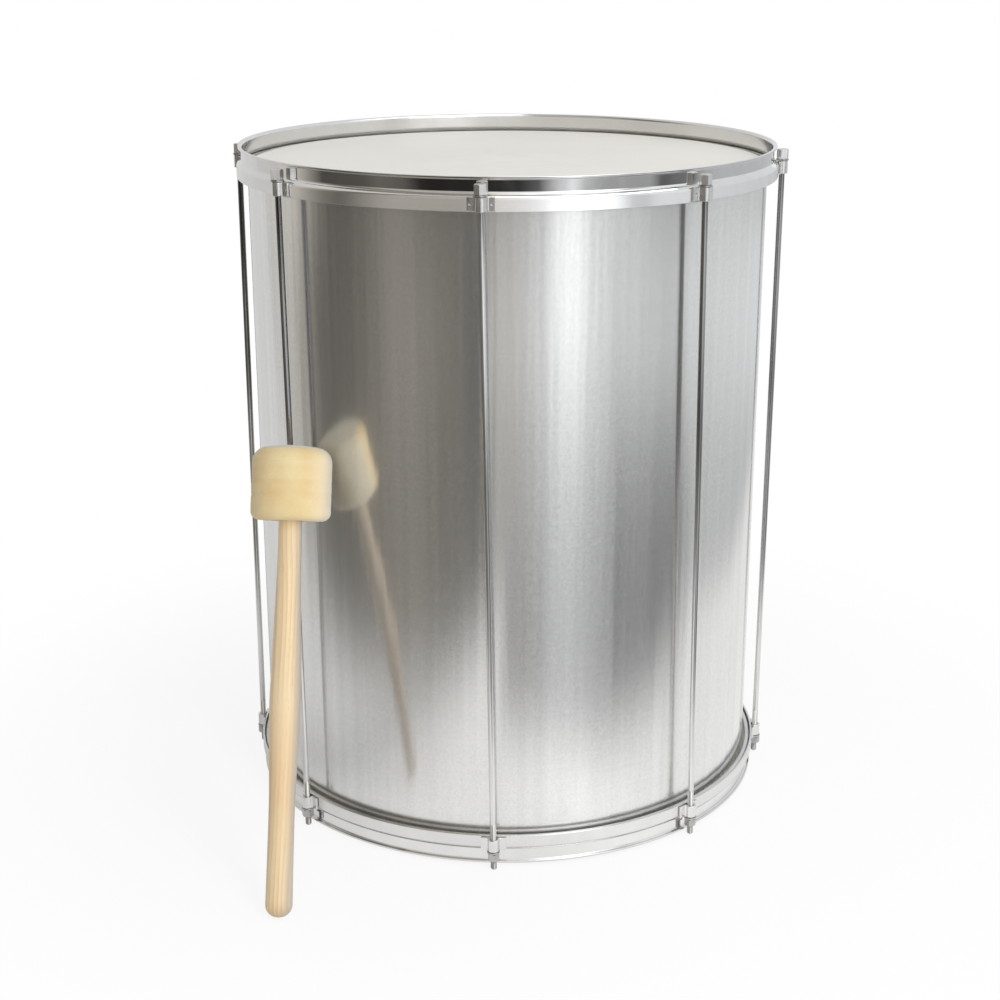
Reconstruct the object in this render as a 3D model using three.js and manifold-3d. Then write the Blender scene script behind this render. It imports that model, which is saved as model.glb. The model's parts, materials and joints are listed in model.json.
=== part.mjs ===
// A large two-headed samba bass drum with its beater leaning on it. Millimetres, +Z up.
// The origin is the centre of the lower head's outer face, on the drum's axis, and the front is -Y.
import * as THREE from "three";
import { mergeVertices } from "three/addons/utils/BufferGeometryUtils.js";
import Module from "manifold-3d";

const wasm = await Module();
wasm.setup();

// Fits
const seatGap = 0.3; // between pieces that touch
const cutOverrun = 4; // how far a cutting solid runs past what it cuts

// Facets
const ringFacets = 48;
const rodFacets = 12;
const washerFacets = 10;
const boreFacets = 8;
const handleFacets = 16;
const beaterFacets = 24;

// Shell: rolled sheet whose two ends curl in as round bearing edges
const shellRadius = 250;
const shellLength = 604;
const shellWall = 1.2;
const bearingRadius = 3.5;
const ventRadius = 5;
const ventHeightShare = 0.5; // of the shell's length
const ventTurnShare = 0.55; // of the way round from the front rod

// Vent eyelet
const eyeletWall = 0.9;
const eyeletFlange = 3;
const eyeletCurl = 1.8;

// Heads: a film drawn over the bearing edge and down into its flesh hoop
const filmThickness = 0.5;
const filmDrapeAngle = 50; // where the film leaves the bearing edge, up from level
const headPlay = 1.8; // between shell and flesh hoop

// Flesh hoops: a channel that holds the film's rim
const fleshWidth = 4.8;
const fleshHeight = 9;
const fleshWall = 1.2;
const fleshDrop = 0.5; // of the channel's outer wall below the shell's end

// Counterhoops: flanged lip, upright band, shoulder that presses the flesh hoop, skirt round it
const hoopWall = 2;
const hoopReach = 18; // of the free edge past the shell's end
const hoopHeight = 29.2;
const lipReach = 2.5;
const lipBend = 3;
const shoulderStep = 4.3; // from the band out to the skirt
const shoulderSlope = 40; // degrees down from level
const bandBend = 5;
const skirtBend = 1;
const hoopTwist = 2; // degrees that the lower hoop sits round from the upper one

// Tension rods
const rodCount = 8;
const firstRodAzimuth = -3.83; // degrees from the front, at mid height
const rodRadius = 2.8;
const rodStandoff = 1.2; // from skirt to rod
const rodTipChamfer = 0.8;
const tipReach = 3; // of the rod's tip past the lower hoop's edge
const headFlats = 10;
const headHeight = 9;
const headTurn = 23; // degrees between the rest positions of neighbouring heads
const nutFlats = 10;
const nutHeight = 7.5;
const rodPlay = 0.5; // between rod and ear
const threadPlay = 0.3; // between rod and the bores of nuts and washers
const washerRadius = 6;
const washerThickness = 1.5;

// Ears: strap bent round the rod, its two feet welded to the skirt
const earWall = 2;
const earWidth = 24;
const earHeight = 12;
const earInset = 1; // from the skirt's end
const earBend = 1.5; // inside radius where a leg turns into a foot

// Beater
const handleEndRadius = 12.2;
const handleEndRound = 11.2;
const handleWaistRadius = 11.7;
const handleSwellRadius = 13.9;
const handleNeckRadius = 10.7;
const handleWaistShare = 0.25; // stations as shares of the handle's length, from its foot
const handleSwellShare = 0.46;
const handleNeckShare = 0.76;
const beaterRadius = 36;
const beaterHeight = 68;
const beaterRise = 353.2; // from the handle's foot to the head's lower face
const beaterTopRound = 14;
const beaterFootRound = 8;
const beaterCrown = 2; // rise of the top's middle
const coverThickness = 7;
const leanRod = 8; // the rod that the head rests on
const leanHeading = 4.27; // degrees from straight back towards the right
const footReach = 172.7; // of the beater's foot out from that rod, against the heading
const footSide = 4.6; // of the foot to the right of that rod

// Values that follow
const facetShrink = Math.cos(Math.PI / ringFacets);
const rodPitch = 360 / rodCount;
const shellBottom = filmThickness + seatGap;
const shellTop = shellBottom + shellLength;
const fleshInner = insideRadius(shellRadius + headPlay);
const fleshOuter = fleshInner + fleshWidth;
const skirtInner = insideRadius(fleshOuter);
const skirtOuter = skirtInner + hoopWall;
const bandInner = skirtInner - shoulderStep;
const skirtEnd = hoopReach - hoopHeight;
const earFar = skirtEnd + earInset;
const earNear = earFar + earHeight;
const rodCircle = skirtOuter + rodStandoff + rodRadius;
const floorHeight = shellBottom - hoopReach - tipReach;
const handleLength = beaterRise + beaterHeight - beaterCrown - coverThickness - seatGap;
const beaterBore = (handleNeckRadius + seatGap) / Math.cos(Math.PI / beaterFacets);
const ends = [
  { name: "top", side: 1, level: shellTop, azimuth: firstRodAzimuth - hoopTwist / 2 },
  { name: "bottom", side: -1, level: shellBottom, azimuth: firstRodAzimuth + hoopTwist / 2 },
];

// The least inside radius of a faceted ring that clears a round piece of this radius
function insideRadius(radius) {
  return (radius + seatGap) / facetShrink;
}

function radians(degrees) {
  return (degrees * Math.PI) / 180;
}

// A point at an azimuth from the front, towards the right
function around(radius, azimuth, height) {
  const a = radians(azimuth);
  return new THREE.Vector3(radius * Math.sin(a), -radius * Math.cos(a), height);
}

function arc(x, y, radius, from, to, steps) {
  return Array.from({ length: steps + 1 }, (_, i) => {
    const a = radians(from + ((to - from) * i) / steps);
    return new THREE.Vector2(x + radius * Math.cos(a), y + radius * Math.sin(a));
  });
}

// The outline of a bent sheet, from one face of it: the sheet lies to the left of the way along
function sheet(face, thickness) {
  const left = face.slice(1).map((p, i) => {
    const along = p.clone().sub(face[i]).normalize();
    return new THREE.Vector2(-along.y, along.x);
  });
  const back = face.map((p, i) => {
    const before = left[Math.max(i - 1, 0)];
    const mitre = before.clone().add(left[Math.min(i, left.length - 1)]).normalize();
    return p.clone().addScaledVector(mitre, thickness / mitre.dot(before));
  });
  return [...face, ...back.reverse()];
}

// An outline of radius and height turned round +Z; an outline off the axis closes on itself
function revolve(outline, facets, azimuth = 0) {
  const area = THREE.ShapeUtils.area(outline);
  const turned = area > 0 ? [...outline] : [...outline].reverse();
  if (turned[0].x > 0) turned.push(turned[0]);
  return new THREE.LatheGeometry(turned, facets, radians(azimuth)).rotateX(Math.PI / 2);
}

function extrude(outline, holes, from, to) {
  const shape = new THREE.Shape(outline);
  shape.holes = holes.map((points) => new THREE.Path(points));
  const options = { depth: to - from, bevelEnabled: false, steps: 1 };
  return new THREE.ExtrudeGeometry(shape, options).translate(0, 0, from);
}

function polygon(radius, sides) {
  return arc(0, 0, radius, 0, 360, sides).slice(0, sides);
}

function hexagon(flats) {
  return polygon(flats / Math.sqrt(3), 6);
}

function solidOf(geometry) {
  const bare = geometry.index ? geometry.toNonIndexed() : geometry.clone();
  bare.deleteAttribute("normal");
  bare.deleteAttribute("uv");
  const merged = mergeVertices(bare);
  return new wasm.Manifold(
    new wasm.Mesh({
      numProp: 3,
      vertProperties: merged.attributes.position.array,
      triVerts: new Uint32Array(merged.index.array),
    }),
  );
}

function geometryOf(solid) {
  const mesh = solid.getMesh();
  const geometry = new THREE.BufferGeometry();
  geometry.setAttribute("position", new THREE.BufferAttribute(mesh.vertProperties, 3));
  geometry.setIndex(new THREE.BufferAttribute(mesh.triVerts, 1));
  const flat = geometry.toNonIndexed();
  flat.computeVertexNormals();
  return flat;
}

const finishes = {
  aluminium: [0xb9b9b6, 0.38, 1],
  film: [0xe6e5da, 0.5, 0],
  dullAluminium: [0xa9aaa8, 0.5, 1],
  chrome: [0xdcdcdc, 0.1, 1],
  steel: [0xb4b2ae, 0.25, 1],
  palePine: [0xe9c795, 0.55, 0],
  softwood: [0xb98f5e, 0.9, 0],
  felt: [0xe9dba6, 0.95, 0],
};

function piece(name, geometry, finish) {
  const [color, roughness, metalness] = finishes[finish];
  const material = new THREE.MeshStandardMaterial({ color, roughness, metalness });
  const mesh = new THREE.Mesh(geometry, material);
  mesh.name = name;
  return mesh;
}

// An outline drawn outwards from a shell end, set at that end
function atEnd(end, outline) {
  return outline.map((p) => new THREE.Vector2(p.x, end.level + end.side * p.y));
}

function makeShell() {
  const middle = shellRadius - bearingRadius;
  const low = shellBottom + bearingRadius;
  const high = shellTop - bearingRadius;
  const face = [
    ...arc(middle, low, bearingRadius, 180, 360, 4),
    ...arc(middle, high, bearingRadius, 0, 180, 4),
  ];
  const tube = revolve(sheet(face, shellWall), ringFacets, firstRodAzimuth);
  const drill = new THREE.CylinderGeometry(ventRadius, ventRadius, 2 * cutOverrun, rodFacets);
  placeAtVent(drill.rotateX(Math.PI / 2));
  return piece("shell", geometryOf(solidOf(tube).subtract(solidOf(drill))), "aluminium");
}

// Moves a piece made round +Z to the vent, in the middle of a facet at the back, with +Z pointing out
function placeAtVent(geometry) {
  const facet = Math.floor(ringFacets * ventTurnShare) + 1 / 2;
  const azimuth = firstRodAzimuth + (facet * 360) / ringFacets;
  const height = shellBottom + shellLength * ventHeightShare;
  geometry.rotateX(Math.PI / 2).translate(0, -shellRadius * facetShrink, height);
  return geometry.rotateZ(radians(azimuth));
}

function makeEyelet() {
  const bore = ventRadius - seatGap - eyeletWall;
  const inner = -shellWall * facetShrink - seatGap;
  const face = [
    new THREE.Vector2(ventRadius + eyeletCurl, inner - eyeletWall),
    new THREE.Vector2(bore, inner - eyeletWall),
    new THREE.Vector2(bore, seatGap + eyeletWall),
    new THREE.Vector2(ventRadius + eyeletFlange, seatGap + eyeletWall),
  ];
  const outline = sheet([...face].reverse(), eyeletWall);
  return piece("vent_eyelet", placeAtVent(revolve(outline, washerFacets)), "chrome");
}

// The film's underside, from the axis over the bearing edge to its rim in the flesh hoop
function filmUnderside() {
  const middle = shellRadius - bearingRadius;
  const drape = arc(middle, -bearingRadius, bearingRadius + seatGap, 90, filmDrapeAngle, 2);
  const rim = (fleshInner + fleshOuter - filmThickness) / 2;
  const rimFloor = -fleshDrop - fleshHeight + fleshWall + seatGap;
  return [
    new THREE.Vector2(0, seatGap),
    ...drape,
    new THREE.Vector2(rim, filmSlope(rim)),
    new THREE.Vector2(rim, rimFloor),
  ];
}

// Height of the film's underside on its straight slope outside the bearing edge
function filmSlope(radius) {
  const a = radians(filmDrapeAngle);
  const from = shellRadius - bearingRadius + (bearingRadius + seatGap) * Math.cos(a);
  const height = -bearingRadius + (bearingRadius + seatGap) * Math.sin(a);
  return height - (radius - from) / Math.tan(a);
}

function makeHead(end) {
  const outline = sheet(filmUnderside(), filmThickness);
  const geometry = revolve(atEnd(end, outline), ringFacets, firstRodAzimuth);
  return piece(end.name + "_head", geometry, "film");
}

function makeFleshHoop(end) {
  const slotInner = fleshInner + fleshWall;
  const slotOuter = fleshOuter - fleshWall;
  const floor = -fleshDrop - fleshHeight + fleshWall;
  const channel = [
    new THREE.Vector2(slotOuter, -fleshDrop),
    new THREE.Vector2(slotOuter, floor),
    new THREE.Vector2(slotInner, floor),
    new THREE.Vector2(slotInner, filmSlope(slotInner) - seatGap),
  ];
  const outline = atEnd(end, sheet(channel, fleshWall));
  const geometry = revolve(outline, ringFacets, firstRodAzimuth);
  return piece(end.name + "_flesh_hoop", geometry, "dullAluminium");
}

// Height of the shoulder's inner face, which presses on the flesh hoop's outer edge
function shoulderFace(radius) {
  return (skirtInner - radius) * Math.tan(radians(shoulderSlope)) - fleshDrop;
}

function makeHoop(end) {
  const slope = radians(shoulderSlope);
  const lipCentre = bandInner + lipBend;
  const bandCentre = bandInner + bandBend;
  const bandFoot = shoulderFace(bandCentre - bandBend * Math.sin(slope)) + bandBend * Math.cos(slope);
  const skirtCentre = skirtInner - skirtBend;
  const skirtTop = shoulderFace(skirtCentre + skirtBend * Math.sin(slope)) - skirtBend * Math.cos(slope);
  const face = [
    new THREE.Vector2(bandInner + hoopWall + lipReach, hoopReach),
    ...arc(lipCentre, hoopReach - lipBend, lipBend, 90, 180, 2),
    ...arc(bandCentre, bandFoot, bandBend, 180, 270 - shoulderSlope, 2),
    ...arc(skirtCentre, skirtTop, skirtBend, 90 - shoulderSlope, 0, 1),
    new THREE.Vector2(skirtInner, skirtEnd),
  ];
  const outline = atEnd(end, sheet(face, hoopWall));
  return piece(end.name + "_hoop", revolve(outline, ringFacets, end.azimuth), "chrome");
}

// The ear's plan, about the drum's axis with its rod towards the front: feet that follow the skirt and a
// loop round the rod
function earOutline() {
  const inner = skirtOuter + seatGap;
  const outer = inner + earWall;
  const loopInside = rodRadius + rodPlay;
  const loopOutside = loopInside + earWall;
  const degreesOut = (x, radius) => (Math.asin(x / radius) * 180) / Math.PI;
  const tip = degreesOut(earWidth / 2, inner);
  const footStart = degreesOut(loopInside, inner);
  const bendX = loopOutside + earBend;
  const bendY = -Math.sqrt(outer * outer - bendX * bendX) - earBend;
  const half = [
    ...arc(0, 0, inner, -90 + footStart, -90 + tip, 1),
    ...arc(0, 0, outer, -90 + tip, -90 + degreesOut(bendX, outer), 1),
    ...arc(bendX, bendY, earBend, 90, 180, 2).slice(1),
    ...arc(0, -rodCircle, loopOutside, 0, -90, 3),
  ];
  const loop = arc(0, -rodCircle, loopInside, 180, 360, 6);
  const mirrored = half.slice(0, -1).map((p) => new THREE.Vector2(-p.x, p.y));
  return [...half, ...mirrored.reverse(), ...loop];
}

function makeEars(end) {
  const levels = [earFar, earNear].map((z) => end.level + end.side * z);
  const low = Math.min(...levels);
  const high = Math.max(...levels);
  return rodNumbers().map((n) => {
    const geometry = extrude(earOutline(), [], low, high).rotateZ(radians(rodAzimuth(end, n)));
    return piece(`${end.name}_ear_${n}`, geometry, "chrome");
  });
}

function rodNumbers() {
  return Array.from({ length: rodCount }, (_, i) => i + 1);
}

function rodAzimuth(end, n) {
  return end.azimuth + (n - 1) * rodPitch;
}

// The line of a rod through the middles of its two ears: its tip, its direction upwards, and how far along
// it a height lies
function rodLine(n) {
  const [top, bottom] = ends.map((end) => {
    const middle = end.level + (end.side * (earFar + earNear)) / 2;
    return around(rodCircle, rodAzimuth(end, n), middle);
  });
  const up = top.clone().sub(bottom).normalize();
  const rimDrop = rodRadius * Math.sqrt(1 - up.z * up.z);
  const tip = bottom.clone().addScaledVector(up, (floorHeight + rimDrop - bottom.z) / up.z);
  return { tip, up, along: (height) => (height - tip.z) / up.z };
}

function threadBore() {
  return polygon((rodRadius + threadPlay) / Math.cos(Math.PI / boreFacets), boreFacets);
}

function makeWasher(name, at) {
  const disc = polygon(washerRadius, washerFacets);
  return piece(name, extrude(disc, [threadBore()], at, at + washerThickness), "steel");
}

function makeRod(n, headSeat) {
  const shank = [
    new THREE.Vector2(0, 0),
    new THREE.Vector2(rodRadius - rodTipChamfer, 0),
    new THREE.Vector2(rodRadius, rodTipChamfer),
    new THREE.Vector2(rodRadius, headSeat + headHeight / 2),
    new THREE.Vector2(0, headSeat + headHeight / 2),
  ];
  const head = extrude(hexagon(headFlats), [], headSeat, headSeat + headHeight);
  const whole = solidOf(revolve(shank, rodFacets)).add(solidOf(head));
  return piece(`rod_${n}`, geometryOf(whole), "chrome");
}

function makeNut(n, from) {
  const nut = extrude(hexagon(nutFlats), [threadBore()], from, from + nutHeight);
  return piece(`nut_${n}`, nut.rotateZ(-radians(headTurn * n)), "steel");
}

// A rod with its washers and nut, made along +Z from the tip and leant to its line
function makeRodSet(n) {
  const { tip, up, along } = rodLine(n);
  const topWasher = along(shellTop + earNear) + seatGap;
  const bottomWasher = along(shellBottom - earNear) - seatGap - washerThickness;
  const set = new THREE.Group();
  const rod = makeRod(n, topWasher + washerThickness + seatGap);
  rod.rotation.z = radians(headTurn * n);
  set.add(
    rod,
    makeWasher(`top_washer_${n}`, topWasher),
    makeWasher(`bottom_washer_${n}`, bottomWasher),
    makeNut(n, bottomWasher - seatGap - nutHeight),
  );
  set.position.copy(tip);
  set.quaternion.setFromUnitVectors(new THREE.Vector3(0, 0, 1), up);
  return set;
}

function makeHandle() {
  const stations = new THREE.SplineCurve([
    new THREE.Vector2(handleEndRadius, handleEndRound),
    new THREE.Vector2(handleWaistRadius, handleLength * handleWaistShare),
    new THREE.Vector2(handleSwellRadius, handleLength * handleSwellShare),
    new THREE.Vector2(handleNeckRadius, handleLength * handleNeckShare),
    new THREE.Vector2(handleNeckRadius, handleLength),
  ]);
  const outline = [
    new THREE.Vector2(0, 0),
    ...arc(handleEndRadius - handleEndRound, handleEndRound, handleEndRound, -90, 0, 3),
    ...stations.getPoints(8).slice(1),
    new THREE.Vector2(0, handleLength),
  ];
  return piece("beater_handle", revolve(outline, handleFacets), "palePine");
}

// The head's side from the middle of its top to the handle, seen from the handle's foot
function beaterSide(inset) {
  const top = beaterRise + beaterHeight - inset;
  const foot = beaterRise + inset;
  const radius = beaterRadius - inset;
  const topRound = beaterTopRound - inset;
  const footRound = Math.max(beaterFootRound - inset, seatGap);
  return [
    new THREE.Vector2(0, top),
    ...arc(radius - topRound, top - beaterCrown - topRound, topRound, 90, 0, 3),
    ...arc(radius - footRound, foot + footRound, footRound, 0, -90, 2),
    new THREE.Vector2(beaterBore, foot),
  ];
}

function makeCover() {
  const outside = beaterSide(0);
  const inside = beaterSide(coverThickness);
  return piece("beater_cover", revolve([...outside, ...inside.reverse()], beaterFacets), "felt");
}

function makeCore() {
  const [, ...side] = beaterSide(coverThickness + seatGap);
  const outline = [new THREE.Vector2(beaterBore, side[0].y), ...side];
  return piece("beater_core", revolve(outline, beaterFacets), "softwood");
}

// Height of the handle's foot above what it stands on when it leans by this angle
function footRise(lean) {
  const flat = handleEndRadius - handleEndRound;
  return handleEndRound - handleEndRound * Math.cos(lean) + flat * Math.sin(lean);
}

function beaterPlace(lean) {
  const heading = radians(leanHeading);
  const back = new THREE.Vector3(Math.sin(heading), Math.cos(heading), 0);
  const right = new THREE.Vector3(Math.cos(heading), -Math.sin(heading), 0);
  const foot = rodLine(leanRod).tip.clone();
  foot.addScaledVector(back, -footReach).addScaledVector(right, footSide);
  foot.z = floorHeight + footRise(lean);
  return new THREE.Matrix4().makeRotationAxis(right, -lean).setPosition(foot);
}

// The least distance from the leaning head to the rod it rests on and to the shell
function headRoom(lean) {
  const place = beaterPlace(lean);
  const { tip, up } = rodLine(leanRod);
  const rod = new THREE.Line3(tip, tip.clone().addScaledVector(up, shellLength));
  let least = Infinity;
  for (const p of beaterSide(0)) {
    for (let step = 0; step < 90; step++) {
      const point = around(p.x, 4 * step, p.y).applyMatrix4(place);
      const nearest = rod.closestPointToPoint(point, true, new THREE.Vector3());
      const fromShell = Math.hypot(point.x, point.y) - shellRadius;
      least = Math.min(least, point.distanceTo(nearest) - rodRadius, fromShell);
    }
  }
  return least;
}

// The lean at which the head comes to rest a seat's gap from the rod or the shell
function restingLean() {
  let upright = 0;
  let over = radians(60);
  for (let round = 0; round < 30; round++) {
    const middle = (upright + over) / 2;
    if (headRoom(middle) > seatGap) upright = middle;
    else over = middle;
  }
  return upright;
}

function makeBeater() {
  const beater = new THREE.Group();
  beater.add(makeHandle(), makeCore(), makeCover());
  beater.applyMatrix4(beaterPlace(restingLean()));
  return beater;
}

const drum = new THREE.Group();
drum.add(makeShell(), makeEyelet());
for (const end of ends) {
  drum.add(makeHead(end), makeFleshHoop(end), makeHoop(end), ...makeEars(end));
}
drum.add(...rodNumbers().map(makeRodSet), makeBeater());

export default drum;
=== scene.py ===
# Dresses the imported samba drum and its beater, and sets up a plain studio round them. Lengths are in metres,
# +Z is up, and the camera stands on the -Y side.
import json
import math

import bpy
import numpy as np
from bpy.props import FloatProperty, FloatVectorProperty, PointerProperty
from bpy.types import Operator, Panel, PropertyGroup
from mathutils import Matrix, Vector, noise

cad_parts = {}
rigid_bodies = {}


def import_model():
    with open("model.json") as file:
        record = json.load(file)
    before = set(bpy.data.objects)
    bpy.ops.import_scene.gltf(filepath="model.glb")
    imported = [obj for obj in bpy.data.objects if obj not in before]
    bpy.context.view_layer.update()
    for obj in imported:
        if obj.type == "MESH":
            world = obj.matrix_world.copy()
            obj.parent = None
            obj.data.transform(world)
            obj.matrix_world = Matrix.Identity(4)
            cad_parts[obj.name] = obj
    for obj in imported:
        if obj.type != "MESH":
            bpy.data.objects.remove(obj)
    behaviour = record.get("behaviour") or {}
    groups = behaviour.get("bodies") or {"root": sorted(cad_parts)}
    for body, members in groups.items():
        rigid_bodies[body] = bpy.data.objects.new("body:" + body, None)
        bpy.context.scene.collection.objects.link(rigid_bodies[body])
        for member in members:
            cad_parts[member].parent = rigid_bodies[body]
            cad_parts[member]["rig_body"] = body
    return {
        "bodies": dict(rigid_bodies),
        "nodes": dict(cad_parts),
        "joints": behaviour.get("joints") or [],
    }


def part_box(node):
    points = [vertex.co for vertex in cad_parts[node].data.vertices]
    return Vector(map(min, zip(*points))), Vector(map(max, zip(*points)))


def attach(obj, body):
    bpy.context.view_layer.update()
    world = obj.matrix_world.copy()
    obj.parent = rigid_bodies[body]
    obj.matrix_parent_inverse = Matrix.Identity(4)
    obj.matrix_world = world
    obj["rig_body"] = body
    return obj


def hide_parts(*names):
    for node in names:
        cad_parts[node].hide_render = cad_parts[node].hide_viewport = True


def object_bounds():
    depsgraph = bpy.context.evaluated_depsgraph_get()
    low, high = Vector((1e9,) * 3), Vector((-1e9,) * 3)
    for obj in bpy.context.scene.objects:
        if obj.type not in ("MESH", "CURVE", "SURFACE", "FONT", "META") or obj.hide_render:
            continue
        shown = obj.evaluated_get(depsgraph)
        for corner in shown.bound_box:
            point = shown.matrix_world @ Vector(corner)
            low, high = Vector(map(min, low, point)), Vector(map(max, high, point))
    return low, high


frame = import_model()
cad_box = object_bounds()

bl_info = {
    "name": "Samba drum",
    "version": (1, 0, 0),
    "blender": (4, 5, 0),
    "location": "3D View > Sidebar > Samba drum",
    "description": "Dresses a packed samba drum and its beater",
    "category": "Object",
}

mm = 0.001
SEAT_GAP = 0.3 * mm
ON_AXIS = 1e-7  # a point nearer the axis than this lies on it
RING_STEPS = 240
HEXAGON_STEPS = 36
CREASE = 40  # degrees between faces from which their edge is sharp
UP = Vector((0, 0, 1))
ORIGIN = Matrix.Identity(4)
ENDS = {"top": 1, "bottom": -1}
ROD_NUMBERS = range(1, 1 + sum(name.startswith("rod_") for name in frame["bodies"]))

# Roundings of edges
SHEET_EDGE = 0.3 * mm
HOOP_EDGE = 0.55 * mm
EAR_EDGE = 0.45 * mm
WASHER_EDGE = 0.35 * mm
HEAD_EDGE = 0.2 * mm
NUT_EDGE = 0.5 * mm

# Hexagons: circles on their ends as shares of the flats, and the slope down to the corners
CHAMFER_CIRCLE = 0.475
DISH_CIRCLE = 0.3
CHAMFER_SLOPE = math.radians(30)

# Brushing that runs round the drum turns the shine by a quarter
ROUND_THE_DRUM = {"Anisotropic_Rotation": 0.25}
WHITE = (1, 1, 1)


def length(name, description, millimetres):
    return FloatProperty(
        name=name, description=description, default=millimetres * mm, min=0, unit="LENGTH", precision=5
    )


def share(name, description, default):
    return FloatProperty(name=name, description=description, default=default, subtype="FACTOR")


def degrees(name, description, default):
    return FloatProperty(name=name, description=description, default=math.radians(default), subtype="ANGLE")


def power(name, description, default):
    return FloatProperty(name=name, description=description, default=default, unit="POWER")


def colour(name, description, default):
    return FloatVectorProperty(
        name=name, description=description, default=default, subtype="COLOR", min=0, max=1
    )


class ShellSettings(PropertyGroup):
    """The rolled shell, its seam and its air hole."""

    wall: length("Wall", "Thickness of the shell's sheet", 1.2)
    bearing_radius: length("Bearing edge", "Radius of the curled ends", 3.5)
    vent_radius: length("Air hole", "Radius of the hole at the back", 5)
    eyelet_wall: length("Eyelet wall", "Thickness of the eyelet's tube", 0.9)
    eyelet_flange: length("Eyelet flange", "Reach of the outer flange past the hole", 3)
    eyelet_curl: length("Eyelet curl", "Reach of the inner curl past the hole", 1.8)
    seam_width: length("Seam width", "Width of the ground weld along the sheet's ends", 2.4)
    seam_height: length("Seam height", "Height of the ground weld over the sheet", 0.2)
    seam_azimuth: degrees("Seam place", "Turn of the seam from the front, towards the right", 154)
    colour: colour("Colour", "Base colour of the aluminium", (0.82, 0.815, 0.8))
    haze: share("Haze", "Part of the sheet's shine that is spread wide by the brushing", 0.2)


class HeadSettings(PropertyGroup):
    """The two films and the channel hoops that hold their rims."""

    film: length("Film", "Thickness of the film", 0.5)
    drape_angle: degrees("Drape", "Where the film leaves the bearing edge, up from level", 50)
    flesh_width: length("Flesh hoop width", "Across the channel", 4.8)
    flesh_wall: length("Flesh hoop wall", "Thickness of the channel's sheet", 1.2)
    flesh_bend: length("Flesh hoop bend", "Inner radius of the channel's corners", 0.5)
    colour: colour("Film colour", "Base colour of the film", (0.89, 0.875, 0.815))
    metal: colour("Channel colour", "Base colour of the channel hoops", (0.8, 0.8, 0.79))


class HoopSettings(PropertyGroup):
    """The counterhoops and the ears on their skirts."""

    wall: length("Wall", "Thickness of the hoop's sheet", 2)
    reach: length("Reach", "Of the free edge past the shell's end", 18)
    lip_reach: length("Lip", "Of the flanged lip past the band", 2.5)
    lip_bend: length("Lip bend", "Outer radius under the lip", 3)
    step: length("Step", "From the band out to the skirt", 4.3)
    slope: degrees("Slope", "Of the shoulder, down from level", 40)
    band_bend: length("Band bend", "Inner radius where the band meets the shoulder", 5)
    skirt_lean: degrees("Skirt lean", "How far the skirt's polish leans outwards to its end", 9)
    skirt_bend: length("Skirt bend", "Inner radius where the shoulder meets the skirt", 1)
    ear_wall: length("Ear wall", "Thickness of the ear's strap", 2)
    ear_width: length("Ear width", "Across both feet of an ear", 24)
    ear_bend: length("Ear bend", "Inner radius where a leg turns into a foot", 1.5)
    ear_play: length("Ear play", "Between the rod and the ear's loop", 0.5)
    weld_radius: length("Spot weld", "Radius of the spot weld's dimple on each foot", 1.5)
    colour: colour("Chrome", "Base colour of the chrome", (0.8, 0.795, 0.785))


class RodSettings(PropertyGroup):
    """The tension rods, their nuts and washers."""

    radius: length("Radius", "Radius of the rod", 2.8)
    head_flats: length("Head flats", "Across the flats of the rod's head", 10)
    head_height: length("Head height", "Of the rod's head", 9)
    head_turn: degrees("Head turn", "Between the rest positions of neighbouring heads", 23)
    nut_flats: length("Nut flats", "Across the flats of the nut", 10)
    bore_play: length("Bore play", "Between the rod and the bores on it", 0.3)
    thread_length: length("Thread length", "Of the thread up from the rod's tip", 48)
    thread_pitch: length("Thread pitch", "Rise of the thread in one turn", 1)
    thread_depth: length("Thread depth", "Half of the thread's depth", 0.2)
    thread_inset: length("Thread inset", "Of the thread's middle under the rod's surface", 0.04)
    tip_chamfer: length("Tip chamfer", "At the rod's end", 0.8)
    colour: colour("Plating", "Base colour of nuts and washers", (0.5, 0.49, 0.48))


class BeaterSettings(PropertyGroup):
    """The beater's head and the colours of its felt and wood."""

    end_radius: length("Handle end", "Radius of the handle's foot", 12.2)
    end_round: length("Handle end round", "Radius of the foot's rounded edge", 11.2)
    height: length("Head height", "Of the felt head along the handle", 68)
    top_round: length("Top round", "Radius of the head's upper edge", 14)
    foot_round: length("Foot round", "Radius of the head's lower edge", 8)
    crown: length("Crown", "Rise of the head's middle", 2)
    felt: length("Felt", "Thickness of the felt", 7)
    bore: length("Bore", "Radius round the handle's neck", 11.05)
    unevenness: length("Unevenness", "Of the felt's surface", 0.35)
    groove: length("Groove", "Depth of the lines between the felt's windings", 0.35)
    felt_colour: colour("Felt", "Base colour of the felt", (0.82, 0.68, 0.38))
    worn_colour: colour("Worn felt", "Colour of the felt where it rubs on the drum", (0.72, 0.68, 0.57))
    wood_colour: colour("Wood", "Base colour of the handle's pale wood", (0.88, 0.71, 0.46))
    band_colour: colour("Late wood", "Base colour of the grain's darker bands", (0.72, 0.44, 0.2))
    # Painted shade for the handle's side towards the drum
    shaded_colour: colour("Shaded wood", "Colour of the handle's side at the drum", (0.45, 0.425, 0.39))


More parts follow.
